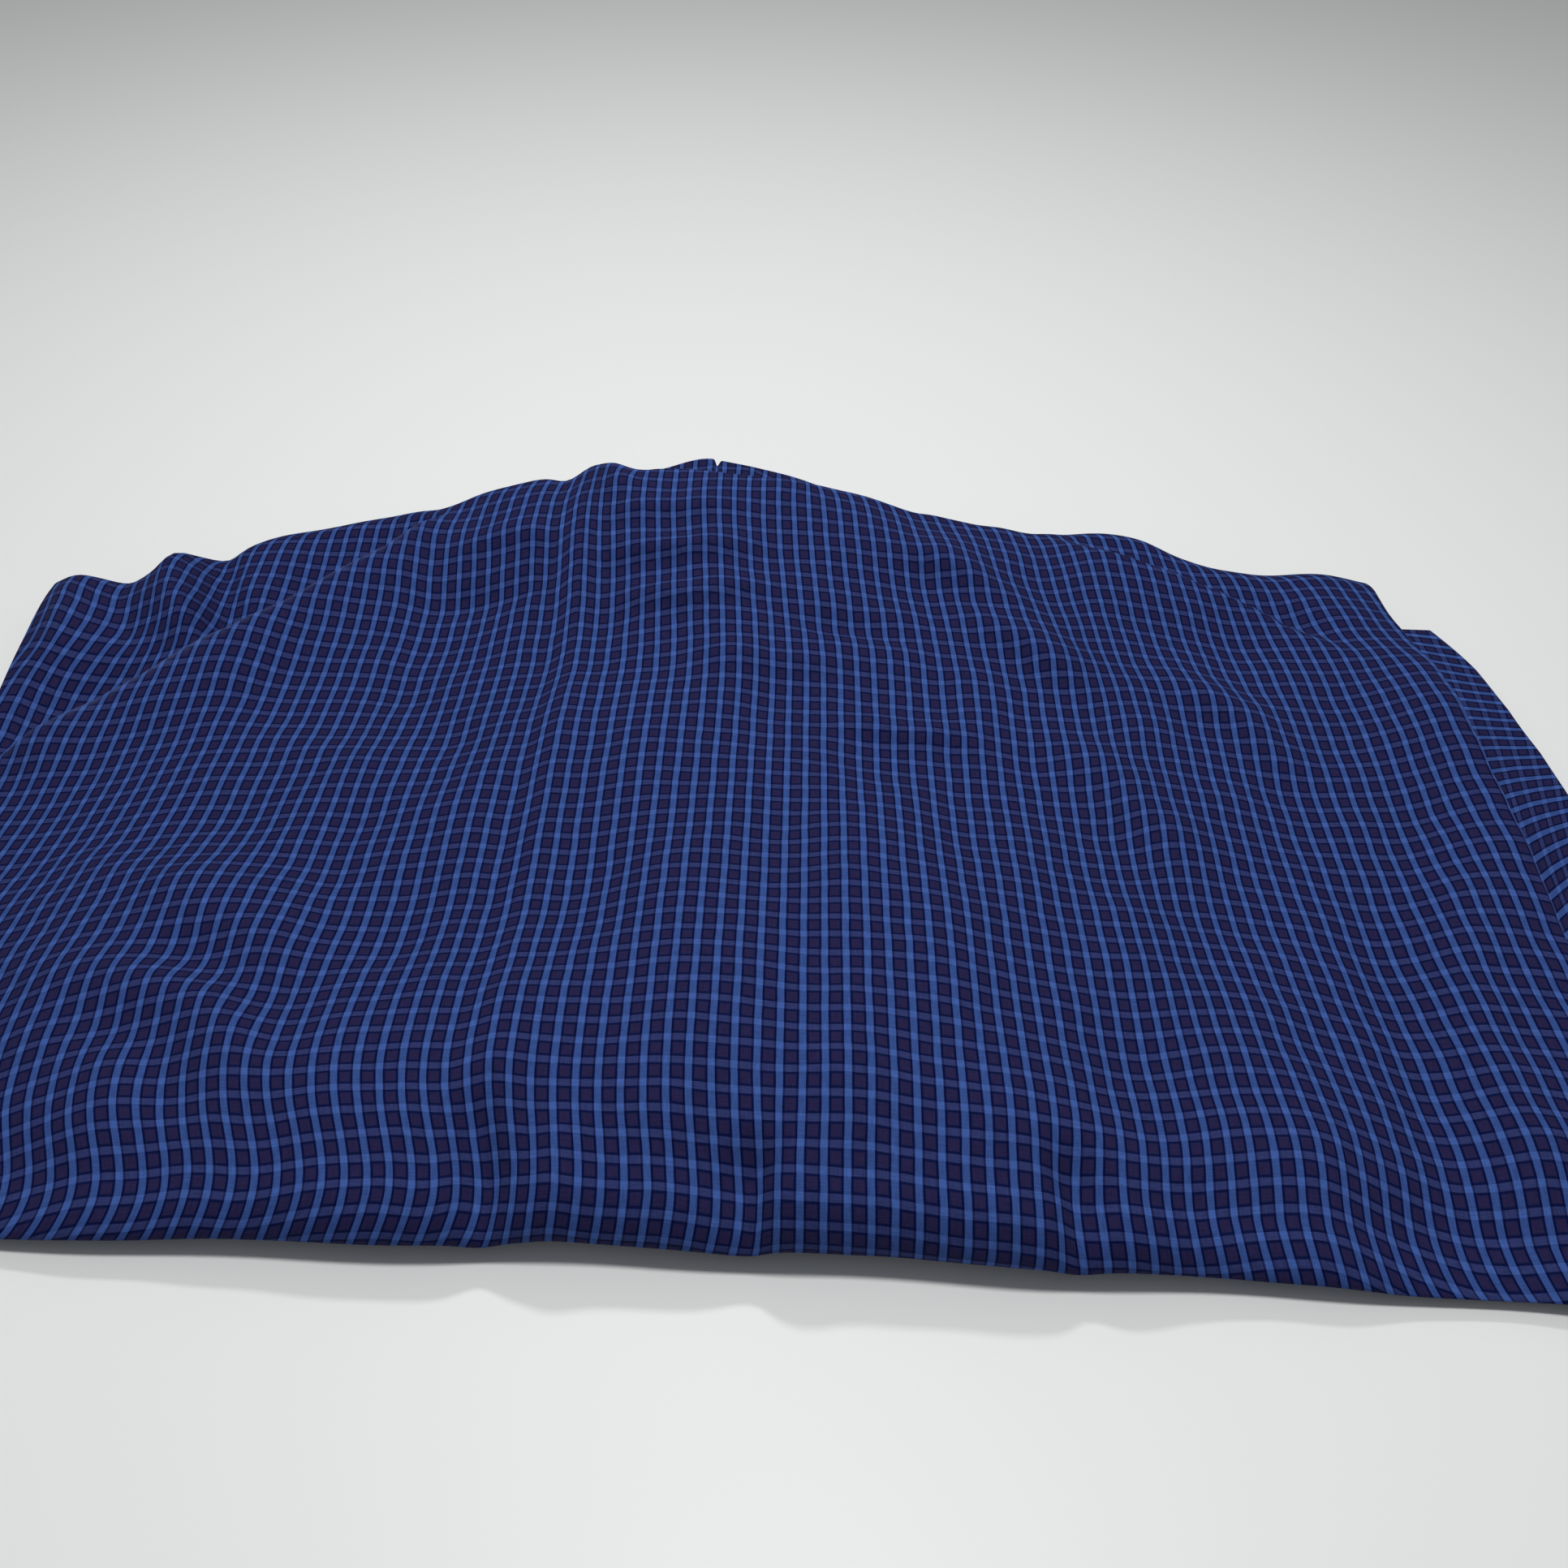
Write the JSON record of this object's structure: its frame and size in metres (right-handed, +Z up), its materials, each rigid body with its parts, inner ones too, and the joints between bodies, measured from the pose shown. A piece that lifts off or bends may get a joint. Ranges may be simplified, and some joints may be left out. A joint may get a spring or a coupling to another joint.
{
  "type": "folded length of check fabric",
  "caption": "Loosely folded length of woven blue check shirting laid flat, with bunched inner folds, a soft front roll and a top ply that turns back.",
  "frame": {"origin": "on the table, at the centre of the pile's outline", "axes": "+X across the width of the cloth, +Y from the front fold to the hem, +Z up from the table"},
  "size_m": [0.8199, 0.5129, 0.052],
  "materials": {
    "check_cloth": "matt woven cotton check",
    "inner_cloth": "matt woven cotton check, in shade"
  },
  "bodies": {
    "lower_plies": {"bottom_ply": "inner_cloth", "middle_ply": "inner_cloth", "back_fold": "inner_cloth", "right_stepped_ply": "check_cloth", "right_turned_ply": "check_cloth", "bunched_fold_1": "inner_cloth", "bunched_fold_2": "inner_cloth", "bunched_fold_3": "inner_cloth", "bunched_fold_4": "inner_cloth", "left_front_bunch": "inner_cloth", "right_edge_bunch": "inner_cloth", "inner_ply": "check_cloth", "front_fold": "check_cloth"},
    "top_layer": {"top_ply": "check_cloth"}
  },
  "joints": [
    {"name": "front_fold_open", "type": "hinge", "parent": "lower_plies", "child": "top_layer", "pos_m": [0, -0.225, 0.022], "axis": [1, 0, 0], "range_deg": [0, 175], "deforming": ["front_fold"]}
  ]
}
